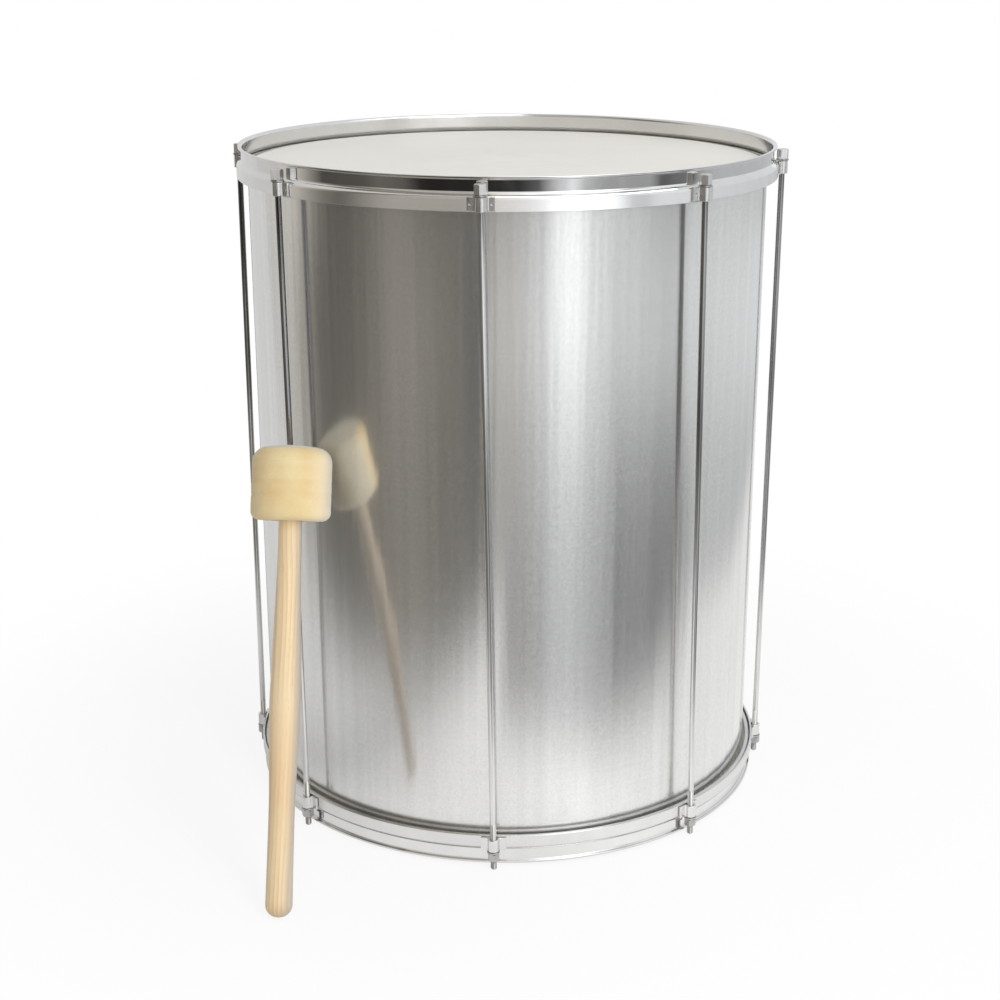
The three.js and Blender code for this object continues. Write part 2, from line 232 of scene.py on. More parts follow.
class StudioSettings(PropertyGroup):
    """The camera, the floor and the lamps."""

    lens: FloatProperty(name="Lens", description="Focal length", default=63.24, subtype="DISTANCE_CAMERA")
    distance: length("Distance", "Of the camera from the drum's axis", 1722.6)
    height: length("Height", "Of the camera over the floor", 839.5)
    pitch: degrees("Pitch", "Of the camera's view below level", 18.07)
    shift: FloatProperty(name="Shift", description="Of the picture's centre", default=-0.0074)
    key_power: power("Key lamp", "Power of the key lamp", 26)
    top_power: power("Top lamp", "Power of the top lamp", 8)
    fill: share("Fill", "Strength of the light from all round", 0.48)
    left_sweep: length("Left sweep", "Reach of the white floor that the metal mirrors at the left", 660)
    right_sweep: length("Right sweep", "Reach of that floor at the right", 470)
    left_turn: degrees("Left turn", "Turn of the floor's left edge from the front", -47)
    right_turn: degrees("Right turn", "Turn of the floor's right edge from the front", 27)
    floor_colour: colour("Floor", "Base colour of the floor", (0.92, 0.92, 0.92))


def settings(name):
    return getattr(bpy.context.scene, "surdo_" + name)


def arithmetic(operation):
    """A method that adds this Math node to a graph, and its reflected form."""
    return (
        lambda self, other: self.math(operation, self, other),
        lambda self, other: self.math(operation, other, self),
    )


class Socket:
    """One output of a node. Arithmetic on it adds Math nodes to its graph."""

    def __init__(self, graph, output):
        self.graph = graph
        self.output = output

    def math(self, operation, first, second=None):
        inputs = {0: first} if second is None else {0: first, 1: second}
        return self.graph.add("ShaderNodeMath", {"operation": operation}, inputs)

    __add__, __radd__ = arithmetic("ADD")
    __sub__, __rsub__ = arithmetic("SUBTRACT")
    __mul__, __rmul__ = arithmetic("MULTIPLY")
    __truediv__, __rtruediv__ = arithmetic("DIVIDE")
    __pow__, __rpow__ = arithmetic("POWER")

    def __neg__(self):
        return self.math("MULTIPLY", self, -1)

    def __abs__(self):
        return self.math("ABSOLUTE", self)

    def at_least(self, other):
        return self.math("MAXIMUM", self, other)


class Graph:
    """The nodes of one material or world, and its coordinates, here."""

    def __init__(self, tree, coordinates="Object"):
        self.tree = tree
        tree.nodes.clear()
        self.here = self.add("ShaderNodeTexCoord", output=coordinates)

    def add(self, kind, choices=None, inputs=None, output=0):
        """A node of this kind: its settings, then its sockets' values or links. Gives one output, if any."""
        node = self.tree.nodes.new(kind)
        for name, value in (choices or {}).items():
            if name == "stops":
                self.set_stops(node.color_ramp, value)
            else:
                setattr(node, name, value)
        for key, value in (inputs or {}).items():
            if isinstance(value, Socket):
                self.tree.links.new(value.output, node.inputs[key])
            else:
                node.inputs[key].default_value = value
        return Socket(self, node.outputs[output]) if node.outputs else None

    def set_stops(self, ramp, stops):
        while len(ramp.elements) < len(stops):
            ramp.elements.new(1)
        for element, (place, value) in zip(ramp.elements, stops):
            element.position = place
            element.color = (value, value, value, 1)

    def stretch(self, vector, scale):
        return self.add("ShaderNodeVectorMath", {"operation": "MULTIPLY"}, {0: vector, 1: scale})

    def noise(self, scale, detail, rough, distortion=0.0, vector=None):
        """Noise of one scale, or with its own scale along each axis."""
        vector = vector or self.here
        if isinstance(scale, tuple):
            vector, scale = self.stretch(vector, scale), 1
        inputs = {"Vector": vector, "Scale": scale, "Detail": detail}
        return self.add("ShaderNodeTexNoise", None, {**inputs, "Roughness": rough, "Distortion": distortion})

    def axes(self, vector=None):
        separate = self.add("ShaderNodeSeparateXYZ", None, {0: vector or self.here}).output.node
        return [Socket(self, output) for output in separate.outputs]

    def from_axis(self, x, y):
        return (x * x + y * y) ** 0.5

    def step(self, value, low, high, start=0.0, end=1.0):
        """A smooth step from start to end as value goes from low to high."""
        inputs = {"Value": value, "From Min": low, "From Max": high, "To Min": start, "To Max": end}
        return self.add("ShaderNodeMapRange", {"interpolation_type": "SMOOTHSTEP"}, inputs)

    def ramp(self, value, stops):
        """Brightness by a value: each stop is its place from 0 to 1 and its brightness."""
        return self.add("ShaderNodeValToRGB", {"stops": stops}, {"Fac": value})

    def mix(self, factor, first, second, kind="MIX"):
        """A mix of two colours."""
        pair = [value if isinstance(value, Socket) else (*value, 1) for value in (first, second)]
        choices = {"data_type": "RGBA", "blend_type": kind}
        return self.add("ShaderNodeMix", choices, {0: factor, 6: pair[0], 7: pair[1]}, 2)

    def tones(self, factor, tint, low, high=1.0):
        """A tint that goes from one part of its brightness to another with the factor."""
        return self.mix(factor, scaled(tint, low), scaled(tint, high))

    def mix_shader(self, factor, first, second):
        return self.add("ShaderNodeMixShader", None, {0: factor, 1: first, 2: second})

    def bump(self, height, depth, strength=1.0, normal=None):
        """A normal from a height between 0 and 1 that stands for this depth in metres."""
        inputs = {"Height": height, "Distance": depth, "Strength": strength}
        if normal is not None:
            inputs["Normal"] = normal
        return self.add("ShaderNodeBump", None, inputs)

    def rays(self):
        """Whether a ray is seen, straight or through a clear thing, and whether it is mirrored."""
        outputs = self.add("ShaderNodeLightPath").output.node.outputs
        camera, transmitted, glossy = (
            Socket(self, outputs[f"Is {kind} Ray"]) for kind in ("Camera", "Transmission", "Glossy")
        )
        return camera + transmitted, glossy

    def shader(self, **inputs):
        """A Principled shader whose sockets are named with underscores for spaces."""
        named = {name.replace("_", " ").replace("Ior", "IOR"): value for name, value in inputs.items()}
        return self.add("ShaderNodeBsdfPrincipled", None, named)

    def metal(self, tone, rough, normal, **more):
        return self.shader(Base_Color=tone, Metallic=1.0, Roughness=rough, Normal=normal, **more)


def scaled(tint, part):
    """A tint at a part of its brightness, with no channel over 1."""
    return tuple(min(part * value, 1) for value in tint)


def shared_material(describe):
    """Makes the material whose surface a function of its graph returns, once, so that pieces share it."""
    kept = []

    def get():
        if not kept:
            material = bpy.data.materials.new(describe.__name__)
            material.use_nodes = True
            graph = Graph(material.node_tree)
            graph.add("ShaderNodeOutputMaterial", None, {"Surface": describe(graph)})
            kept.append(material)
        return kept[0]

    return get


@shared_material
def brushed_aluminium(g):
    """Sheet brushed round the drum: fine level lines, upright streaks, fine mottling and slow waves."""
    lines = g.noise((7, 7, 2600), 3, 0.7)
    coarse_lines = g.noise((3, 3, 520), 2, 0.6)
    clouds = g.noise((9, 9, 5), 3, 0.55)
    mottle = g.noise(400, 3, 0.75)
    streaks = g.noise((90, 90, 1.4), 2, 0.6)
    sheet_waves = g.noise((24, 24, 0.9), 3, 0.55)
    worn = lines * 0.12 + coarse_lines * 0.08 + streaks * 0.3 + mottle * 0.5
    tone = g.tones(g.step(worn, 0.34, 0.66), settings("shell").colour, 0.93, 1.07)
    waves = g.bump(sheet_waves, 1.6 * mm, 0.6)
    normal = g.bump(lines + streaks, 0.02 * mm, 0.4, waves)
    rough = 0.1 + clouds * 0.05 + lines * 0.02 + mottle * 0.06
    haze_rough = rough + 0.28
    clear = g.metal(tone, rough, normal, Anisotropic=0.65, **ROUND_THE_DRUM)
    hazy = g.metal(tone, haze_rough, normal, Anisotropic=0.6, **ROUND_THE_DRUM)
    return g.mix_shader(settings("shell").haze, clear, hazy)


@shared_material
def mill_aluminium(g):
    """Rolled channel: dull, with fine drawing lines round the ring."""
    lines = g.noise((5, 5, 1400), 2, 0.6)
    stains = g.noise(22, 3, 0.6)
    tone = g.tones(g.step(stains, 0.3, 0.7), settings("head").metal, 0.85)
    return g.metal(tone, 0.36 + stains * 0.16, g.bump(lines, 0.03 * mm, 0.5))


@shared_material
def chrome(g):
    """Bright plating over rolled strip: slow waves, faint polishing marks and a little haze."""
    ripple = g.noise(24, 2, 0.4)
    marks = g.noise((60, 60, 900), 2, 0.7)
    haze = g.noise(60, 3, 0.6)
    rough = 0.2 + g.step(haze, 0.35, 0.75) * 0.1 + g.step(marks, 0.62, 0.8) * 0.06
    tone = g.tones(g.step(haze, 0.3, 0.8), settings("hoop").colour, 0.94)
    return g.metal(tone, rough, g.bump(ripple, 0.5 * mm, 0.25))


@shared_material
def hoop_chrome(g):
    """Bright band and lip, and a slightly rounded skirt that was only brushed before it was plated."""
    s = settings("hoop")
    x, y, z = g.axes()
    middle = (end_level(1) + end_level(-1)) / 2
    half = end_level(1) - middle
    below_end = half - abs(z - middle)
    satin = g.step(below_end, -1.6 * mm, 0.4 * mm)
    ripple = g.noise(24, 2, 0.4)
    haze = g.noise(60, 3, 0.6)
    lines = g.noise((6, 6, 2200), 3, 0.7)
    band_face = reach("top_hoop") - s.wall - s.step
    inside = g.step(g.from_axis(x, y), band_face + 1.6 * mm, band_face + 0.4 * mm)
    rough = 0.02 + g.step(haze, 0.35, 0.75) * 0.03 + satin * (0.18 + lines * 0.08) + inside * 0.14
    tone = g.tones(g.step(haze, 0.3, 0.8), s.colour, 0.94)
    rounding = below_end.at_least(0) * math.tan(s.skirt_lean)
    normal = g.bump(rounding + ripple * (0.06 * mm) + lines * satin * (0.01 * mm), 1.0)
    return g.metal(tone, rough, normal, Anisotropic=0.8, **ROUND_THE_DRUM)


@shared_material
def rod_chrome(g):
    """Drawn and plated rod: a bright shank with painted shade on the upper shanks of the outer rods, a darker
    thread, and a duller head.
    """
    s = settings("rod")
    z = g.axes()[2]
    seat = span("rod_1", rod_place(1))[1] - s.head_height
    head = g.step(z, seat - 1 * mm, seat)
    grain = g.noise(500, 2, 0.6)
    haze = g.noise((200, 200, 30), 3, 0.6)
    base = settings("hoop").colour
    plain_tone = g.tones(g.step(haze, 0.3, 0.8), base, 0.9)
    from_middle = g.axes(g.add("ShaderNodeObjectInfo", output="Location"))[0]
    # Painted shade on the upper shanks of the rods away from the middle, and a darker thread up from the tip
    outer_rod_shade = g.step(abs(from_middle), 0.03, 0.12, 0.35, 1.0)
    upper = g.step(z, 0.5 * seat, 0.68 * seat) * (1 - head)
    darkened = upper * outer_rod_shade + g.step(z, s.thread_length, 0.0) * 0.6
    tone = g.mix(darkened, plain_tone, scaled(base, 0.35))
    rough = 0.06 + haze * 0.06 + head * (0.22 + grain * 0.1)
    return g.metal(tone, rough, g.bump(grain * head + haze * 0.3, 0.03 * mm, 0.4))


@shared_material
def plated_steel(g):
    """Turned and plated nuts and washers, duller than the chrome."""
    grain = g.noise(700, 2, 0.6)
    spots = g.noise(160, 3, 0.6)
    tone = g.tones(g.step(spots, 0.4, 0.8), settings("rod").colour, 1.0, 0.8)
    return g.metal(tone, 0.2 + spots * 0.16, g.bump(grain, 0.05 * mm, 0.5))


@shared_material
def milky_film(g):
    """Coated off-white film: fine sprayed grain, slow clouds and a trace of handling in the middle."""
    spray = g.noise(900, 2, 0.6)
    clouds = g.noise(7, 3, 0.55)
    x, y = g.axes()[:2]
    worn = g.step(g.from_axis(x, y), 0.16, 0.02) * g.step(g.noise(34, 3, 0.65), 0.45, 0.75)
    base = settings("head").colour
    plain_tone = g.tones(g.step(clouds, 0.3, 0.7), base, 0.965)
    tone = g.mix(worn * 0.35, plain_tone, scaled(base, 0.82))
    rough = 0.42 + spray * 0.12 - worn * 0.06
    normal = g.bump(spray, 0.03 * mm, 0.6)
    return g.shader(Base_Color=tone, Roughness=rough, Normal=normal, Specular_IOR_Level=0.4, Ior=1.5)


@shared_material
def turned_wood(g):
    """Pale straight-grained wood under thin varnish: bands along the handle, pores and turning lines, with
    painted shade on its side towards the drum.
    """
    tint = settings("beater")
    sway = {"Vector": g.stretch(g.here, (30, 30, 5)), "Scale": 1.0}
    swayed = {0: g.add("ShaderNodeTexNoise", None, sway, "Color"), 1: (0.012, 0.012, 0.0), 2: g.here}
    warped = g.add("ShaderNodeVectorMath", {"operation": "MULTIPLY_ADD"}, swayed)
    x, y, z = g.axes(warped)
    saw = {"wave_type": "BANDS", "bands_direction": "X", "wave_profile": "SAW"}
    waves = {"Vector": g.stretch(warped, (1, 0.35, 0.02)), "Scale": 74.0, "Distortion": 3.2}
    rings = g.add("ShaderNodeTexWave", saw, {**waves, "Detail": 3.0, "Detail Scale": 1.4}, "Fac")
    fibres = g.noise((900, 900, 26), 3, 0.65)
    pores = g.step(g.noise((1500, 1500, 60), 2, 0.6), 0.62, 0.72)
    patches = g.noise((22, 22, 8), 2, 0.5)
    turning = g.noise((40, 40, 1800), 2, 0.6)
    grain = g.step(rings * 0.75 + fibres * 0.3, 0.35, 1.05)
    ruddy = tuple(a * 0.55 + b * 0.45 for a, b in zip(tint.wood_colour, tint.band_colour))
    grip_middle, grip_end, grip_core = 0.13, 0.09, 0.02
    gripped = g.step(abs(z - grip_middle), grip_end, grip_core)
    ground = g.mix(g.step(patches, 0.3, 0.56) * 0.25 + gripped * 0.65, tint.wood_colour, ruddy)
    bands = g.mix(grain * g.step(patches, 0.2, 0.6) * 0.75, ground, tint.band_colour)
    tone = g.mix(pores * 0.4, bands, scaled(tint.band_colour, 0.75))
    grime = g.step(z, 0.02, 0.0) * g.step(patches, 0.3, 0.7)
    worn = g.mix(grime * 0.35, tone, scaled(tint.band_colour, 0.45))
    # Painted shade: the handle's side towards the drum is darkened and greyed with the shaded colour
    far_side = g.step(x * 0.6 + y * 0.8, 0.0, 0.012)
    shaded = g.mix(far_side * 0.75, worn, tint.shaded_colour)
    normal = g.bump(fibres * 0.5 + turning * 0.35 - pores * 0.4, 0.05 * mm, 0.7)
    rough = 0.4 + fibres * 0.14
    return g.shader(Base_Color=shaded, Roughness=rough, Normal=normal, Coat_Weight=0.25, Coat_Roughness=0.3)


@shared_material
def bare_wood(g):
    """The turned block under the felt."""
    tint = settings("beater")
    grain = g.noise((220, 220, 30), 3, 0.6)
    tone = g.mix(g.step(grain, 0.3, 0.7), tint.band_colour, tint.wood_colour)
    return g.shader(Base_Color=tone, Roughness=0.7, Normal=g.bump(grain, 0.1 * mm, 0.6))


@shared_material
def wool_felt(g):
    """Pressed wool: matted short fibres, soft lumps, windings in faint pale bands, worn sides and a painted
    highlight on its right side.
    """
    x, y, z = g.axes()
    mat = g.noise(700, 5, 0.75, 1.4, g.stretch(g.here, (1, 1, 1.9)))
    lumps = g.noise(95, 3, 0.6)
    patches = g.noise(26, 2, 0.5)
    windings = g.noise((5, 5, 90), 2, 0.6)
    tint = settings("beater").felt_colour
    pale = tuple(min(1.0, value + add) for value, add in zip(tint, (0.05, 0.08, 0.16)))
    painted_highlight_tint = tuple(min(1.0, value + 0.08) for value in pale)
    tan = tuple(value * part for value, part in zip(tint, (0.93, 0.82, 0.7)))
    tone = g.mix(g.step(patches, 0.3, 0.7), tan, tint)
    tone = g.mix(g.step(windings, 0.35, 0.7) * 0.22, tone, pale)
    # Painted highlight: the felt grows paler towards its right side, as if lit from there
    tone = g.mix(g.step(x, 0.012, 0.034) * 0.6, tone, painted_highlight_tint)
    top = span("beater_cover", beater_place())[1]
    far_side = g.step(x * 0.75 + y * 0.66, 0.004, 0.024)
    rubbed = far_side.at_least(g.step(z, top - 5 * mm, top - 2.5 * mm)) * (0.7 + lumps * 0.4)
    tone = g.mix(rubbed, tone, settings("beater").worn_colour)
    tone = g.mix(g.step(mat, 0.55, 0.3) * 0.35, tone, scaled(tan, 0.8))
    normal = g.bump(mat * 0.6 + lumps * 0.7, 0.5 * mm, 0.55)
    soft = {"Sheen_Weight": 0.3, "Sheen_Roughness": 0.5, "Specular_IOR_Level": 0.25}
    return g.shader(Base_Color=tone, Roughness=0.92, Normal=normal, **soft)


@shared_material
def pale_floor(g):
    """Near white to the camera but for its shadow. Metal sees it shaded, and only up to the sweep."""
    s = settings("studio")
    under_foot, outside_foot, dark = 12 * mm, 10 * mm, (0.2, 0.2, 0.2)
    soft_edge, front_edge = 0.2, 0.12
    side_start, side_end = 0.65, 0.95
    lit_width = 1.6
    x, y = g.axes()[:2]
    from_axis = g.from_axis(x, y)
    seen, glossy = g.rays()
    tone = g.tones(g.noise(240, 2, 0.6) * 0.2, s.floor_colour, 1.0, 0.96)
    plain = g.shader(Base_Color=tone, Roughness=0.9, Specular_IOR_Level=0.0)
    lit_side = g.ramp(x / lit_width + 0.5, [
        (0.2, 0.75), (0.3, 0.55), (0.34, 0.72), (0.42, 0.95), (0.52, 1.0), (0.58, 1.15), (0.66, 1.0),
        (0.8, 0.95),
    ])
    foot = reach("bottom_hoop")
    shaded = g.mix(g.step(from_axis, foot - under_foot, foot + outside_foot), dark, lit_side)
    white = g.add("ShaderNodeEmission", None, {"Color": g.mix(glossy, WHITE, shaded), "Strength": 1.0})
    far = g.step(from_axis, 0.3, 0.8)
    lit = g.mix_shader(seen * (0.87 + far * 0.13) + glossy * 0.85, plain, white)
    to_left = x * math.sin(s.left_turn) - y * math.cos(s.left_turn)
    to_right = x * math.sin(s.right_turn) - y * math.cos(s.right_turn)
    past_left = g.step(to_left, s.left_sweep - soft_edge, s.left_sweep + soft_edge)
    past_front = g.step(to_right, s.right_sweep - front_edge, s.right_sweep + soft_edge)
    past_right = past_front.at_least(g.step(x, side_start, side_end))
    right = g.step(x, -0.06, 0.02)
    beyond = past_left * (1 - right) + past_right * right
    return g.mix_shader(glossy * beyond, lit, g.add("ShaderNodeBsdfTransparent"))


def arc(x, y, radius, start, end, steps):
    """Points along an arc of an outline, with its angles in degrees."""
    angles = [math.radians(start + (end - start) * i / steps) for i in range(steps + 1)]
    return [Vector((x + radius * math.cos(a), y + radius * math.sin(a))) for a in angles]


def sheet(face, thickness):
    """The closed outline of a bent sheet, whose given face has the sheet on its left."""
    left = []
    for here, there in zip(face, face[1:]):
        along = (there - here).normalized()
        left.append(Vector((-along.y, along.x)))
    back = []
    for i, point in enumerate(face):
        before, after = left[max(i - 1, 0)], left[min(i, len(left) - 1)]
        mitre = (before + after).normalized()
        back.append(point + mitre * (thickness / mitre.dot(before)))
    return face + back[::-1]


def softened(outline, radius, steps=3, least_turn=25, most_cut=0.45):
    """A closed outline whose corners off the axis are rounded by a radius, or by what their sides allow."""
    result = []
    for i, corner in enumerate(outline):
        back = outline[i - 1] - corner
        on = outline[(i + 1) % len(outline)] - corner
        shorter = min(back.length, on.length)
        opening = back.angle(on) if shorter > 0 else math.pi
        if corner.x < ON_AXIS or math.degrees(math.pi - opening) < least_turn:
            result.append(corner)
            continue
        cut = min(radius / math.tan(opening / 2), most_cut * shorter)
        first, last = corner + back.normalized() * cut, corner + on.normalized() * cut
        for k in range(steps + 1):
            t = k / steps
            result.append(first * (1 - t) ** 2 + corner * (2 * t * (1 - t)) + last * t**2)
    return result


def anticlockwise(outline):
    area = sum(a.x * b.y - b.x * a.y for a, b in zip(outline, outline[1:] + outline[:1]))
    return outline if area > 0 else outline[::-1]


def turned(rings, steps=RING_STEPS):
    """Vertices and faces of rings round Z. A ring is its radius and height, as numbers or as one per step."""
    angles = np.arange(steps) * 2 * math.pi / steps
    vertices = []
    indices = []
    for radius, height in rings:
        start = len(vertices)
        if np.max(radius) < ON_AXIS:
            vertices.append((0, 0, float(np.mean(height))))
            indices.append([start] * steps)
            continue
        ring = np.broadcast_arrays(radius * np.cos(angles), radius * np.sin(angles), height)
        vertices += np.stack(ring, 1).tolist()
        indices.append(list(range(start, start + steps)))
    closed = len(set(indices[0])) > 1
    pairs = list(zip(indices, indices[1:])) + ([(indices[-1], indices[0])] if closed else [])
    faces = []
    for low, high in pairs:
        for i in range(steps):
            j = (i + 1) % steps
            corners = [low[i], low[j], high[j], high[i]]
            faces.append([c for k, c in enumerate(corners) if c != corners[k - 1]])
    return vertices, faces


def lathe(outline, steps=RING_STEPS):
    points = anticlockwise(outline)
    if points[-1].x < ON_AXIS < points[0].x:
        points = points[::-1]
    return turned([(p.x, p.y) for p in points], steps)


def prism(outline, low, high):
    """An outline in the XY plane raised from one height to another."""
    points = anticlockwise(outline)
    count = len(points)
    vertices = [(p.x, p.y, z) for z in (low, high) for p in points]
    faces = [list(range(count))[::-1], list(range(count, 2 * count))]
    faces += [[i, (i + 1) % count, count + (i + 1) % count, count + i] for i in range(count)]
    return vertices, faces


def moved(shape, matrix):
    vertices, faces = shape
    return [tuple(matrix @ Vector(v)) for v in vertices], faces


def together(*shapes):
    vertices, faces = [], []
    for more_vertices, more_faces in shapes:
        start = len(vertices)
        vertices += more_vertices
        faces += [[start + i for i in face] for face in more_faces]
    return vertices, faces


def new_object(name, data, place=ORIGIN):
    piece = bpy.data.objects.new(name, data)
    bpy.context.scene.collection.objects.link(piece)
    piece.matrix_world = place
    return piece


def baked(piece, kind, values):
    """The mesh of a piece with this modifier applied. The piece itself goes."""
    modifier = piece.modifiers.new(kind.lower(), kind)
    for name, value in values.items():
        setattr(modifier, name, value)
    evaluated = piece.evaluated_get(bpy.context.evaluated_depsgraph_get())
    mesh = bpy.data.meshes.new_from_object(evaluated)
    bpy.data.objects.remove(piece)
    return mesh


def evened(mesh, crease=CREASE):
    """The mesh with sharp creases, and with normals that keep its flats flat beside their bends."""
    mesh.shade_smooth()
    mesh.set_sharp_from_angle(angle=math.radians(crease))
    return baked(new_object("blank", mesh), "WEIGHTED_NORMAL", {"keep_sharp": True})


def new_mesh(name, shape, material, crease=CREASE):
    vertices, faces = shape
    mesh = bpy.data.meshes.new(name)
    mesh.from_pydata(vertices, [], faces)
    mesh.validate()
    mesh.materials.append(material)
    return evened(mesh, crease)


def dress(node, mesh, place=ORIGIN):
    """Puts a mesh in a node's place, on that node's body and with its finish."""
    body = frame["nodes"][node]["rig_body"]
    piece = new_object("smooth_" + node, mesh, place)
    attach(piece, body)
    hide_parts(node)
    return piece


def points_of(node, place=ORIGIN):
    """A node's vertices as seen from a place."""
    inverse = np.array(place.inverted())
    points = np.array([v.co for v in frame["nodes"][node].data.vertices])
    return points @ inverse[:3, :3].T + inverse[:3, 3]


def reach(node, place=ORIGIN):
    """How far a node reaches from the Z axis of a place."""
    return float(np.hypot(*points_of(node, place)[:, :2].T).max())


def span(node, place):
    """A node's least and greatest height, as seen from a place."""
    heights = points_of(node, place)[:, 2]
    return float(heights.min()), float(heights.max())


def end_level(side):
    """Height of the shell's upper or lower end."""
    low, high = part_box("shell")
    return high.z if side > 0 else low.z


def past_end(node, side):
    """How far a node's inner and outer edges lie past the shell's end."""
    return sorted(side * (corner.z - end_level(side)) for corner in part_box(node))


def at_end(side, outline):
    """An outline drawn outwards from a shell end, set at that end."""
    return [Vector((p.x, end_level(side) + side * p.y)) for p in outline]


def turn_place(azimuth, radius=0.0, height=0.0):
    """The place of something made at the front, turned round the drum by an azimuth."""
    turn = Matrix.Rotation(azimuth, 4, "Z")
    return turn @ Matrix.Translation((0, -radius, height))


def make_shell():
    s = settings("shell")
    curl_steps = 14
    drill_steps = 48
    low, high = end_level(-1), end_level(1)
    middle = reach("shell") - s.bearing_radius
    face = arc(middle, low + s.bearing_radius, s.bearing_radius, 180, 360, curl_steps)
    face += arc(middle, high - s.bearing_radius, s.bearing_radius, 0, 180, curl_steps)
    outline = softened(sheet(face, s.wall), SHEET_EDGE)
    tube = new_object("shell_blank", new_mesh("shell", lathe(outline), brushed_aluminium()))
    overrun = 4 * s.wall
    rings = [(0, -overrun), (s.vent_radius, -overrun), (s.vent_radius, overrun), (0, overrun)]
    cutter = new_mesh("drill", turned(rings, drill_steps), brushed_aluminium())
    drill = new_object("drill", cutter, vent_place())
    bpy.context.view_layer.update()
    cut = {"operation": "DIFFERENCE", "solver": "EXACT", "object": drill}
    dress("shell", evened(baked(tube, "BOOLEAN", cut)))
    bpy.data.objects.remove(drill)


def vent_place():
    """The air hole's place, with Z pointing out of the shell."""
    low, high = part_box("vent_eyelet")
    centre = (low + high) / 2
    out = Vector((centre.x, centre.y, 0)).normalized()
    turn = UP.rotation_difference(out).to_matrix().to_4x4()
    return Matrix.Translation(out * reach("shell") + UP * centre.z) @ turn


def make_seam():
    """The ground weld where the rolled sheet's two ends meet, at the back."""
    s = settings("shell")
    rows, columns = 160, 6
    wander, wander_rate = 0.12 * mm, 60
    ripple, ripple_rate, ripple_cycles = 0.25, 900, 3
    lift = 0.02 * mm
    radius = reach("shell")
    low = end_level(-1) + 2 * s.bearing_radius
    high = end_level(1) - 2 * s.bearing_radius
    vertices = []
    for row in range(rows + 1):
        height = low + (high - low) * row / rows
        drift = wander * noise.noise((0, 0, height * wander_rate))
        for column in range(columns + 1):
            across = column / columns
            swell = 1 + ripple * noise.noise((height * ripple_rate, across * ripple_cycles, 0))
            offset = (across - 0.5) * s.seam_width + drift
            rise = s.seam_height * math.sin(math.pi * across) * swell
            vertices.append((offset, -math.sqrt(radius**2 - offset**2) - rise + lift, height))
    wide = columns + 1
    starts = [row * wide + column for row in range(rows) for column in range(columns)]
    faces = [[i, i + 1, i + wide + 1, i + wide] for i in starts]
    mesh = new_mesh("shell_seam", (vertices, faces), mill_aluminium())
    piece = new_object("shell_seam", mesh, turn_place(s.seam_azimuth))
    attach(piece, "drum")


def make_eyelet():
    s = settings("shell")
    bend_steps = 5
    ring_steps = 64
    bend = 1.4 * s.eyelet_wall
    bore = s.vent_radius - SEAT_GAP - s.eyelet_wall
    inner = -s.wall - SEAT_GAP - s.eyelet_wall
    outer = SEAT_GAP + s.eyelet_wall
    face = [Vector((s.vent_radius + s.eyelet_flange, outer))]
    face += arc(bore + bend, outer - bend, bend, 90, 180, bend_steps)
    face += arc(bore + bend, inner + bend, bend, 180, 270, bend_steps)
    face += [Vector((s.vent_radius + s.eyelet_curl, inner))]
    outline = softened(sheet(face, s.eyelet_wall), SHEET_EDGE)
    dress("vent_eyelet", new_mesh("vent_eyelet", lathe(outline, ring_steps), chrome()), vent_place())


def film_slope(radius):
    """Height of the film's underside on its straight slope outside the bearing edge."""
    bearing = settings("shell").bearing_radius
    angle = settings("head").drape_angle
    start = reach("shell") - bearing + (bearing + SEAT_GAP) * math.cos(angle)
    height = -bearing + (bearing + SEAT_GAP) * math.sin(angle)
    return height - (radius - start) / math.tan(angle)


def make_head(name, side):
    s = settings("head")
    flat_rings = 12
    drape_steps = 8
    crease = 60
    bearing = settings("shell").bearing_radius
    middle = reach("shell") - bearing
    flesh_hoop = name + "_flesh_hoop"
    rim = reach(flesh_hoop) - (s.flesh_width + s.film) / 2
    floor = past_end(flesh_hoop, side)[0] + s.flesh_wall + SEAT_GAP
    face = [Vector((middle * ring / flat_rings, SEAT_GAP)) for ring in range(flat_rings)]
    face += arc(middle, -bearing, bearing + SEAT_GAP, 90, math.degrees(s.drape_angle), drape_steps)
    face += [Vector((rim, film_slope(rim))), Vector((rim, floor))]
    outline = at_end(side, sheet(face, s.film))
    dress(name + "_head", new_mesh(name + "_head", lathe(outline), milky_film(), crease))


def make_flesh_hoop(name, side):
    s = settings("head")
    bend_steps = 4
    node = name + "_flesh_hoop"
    near, far = past_end(node, side)
    slot_outer = reach(node) - s.flesh_wall
    slot_inner = reach(node) - s.flesh_width + s.flesh_wall
    bend = s.flesh_bend
    level = near + s.flesh_wall + bend
    face = [Vector((slot_outer, far))]
    face += arc(slot_outer - bend, level, bend, 0, -90, bend_steps)
    face += arc(slot_inner + bend, level, bend, 270, 180, bend_steps)
    face += [Vector((slot_inner, film_slope(slot_inner) - SEAT_GAP))]
    outline = at_end(side, softened(sheet(face, s.flesh_wall), SHEET_EDGE))
    dress(node, new_mesh(node, lathe(outline), mill_aluminium()))


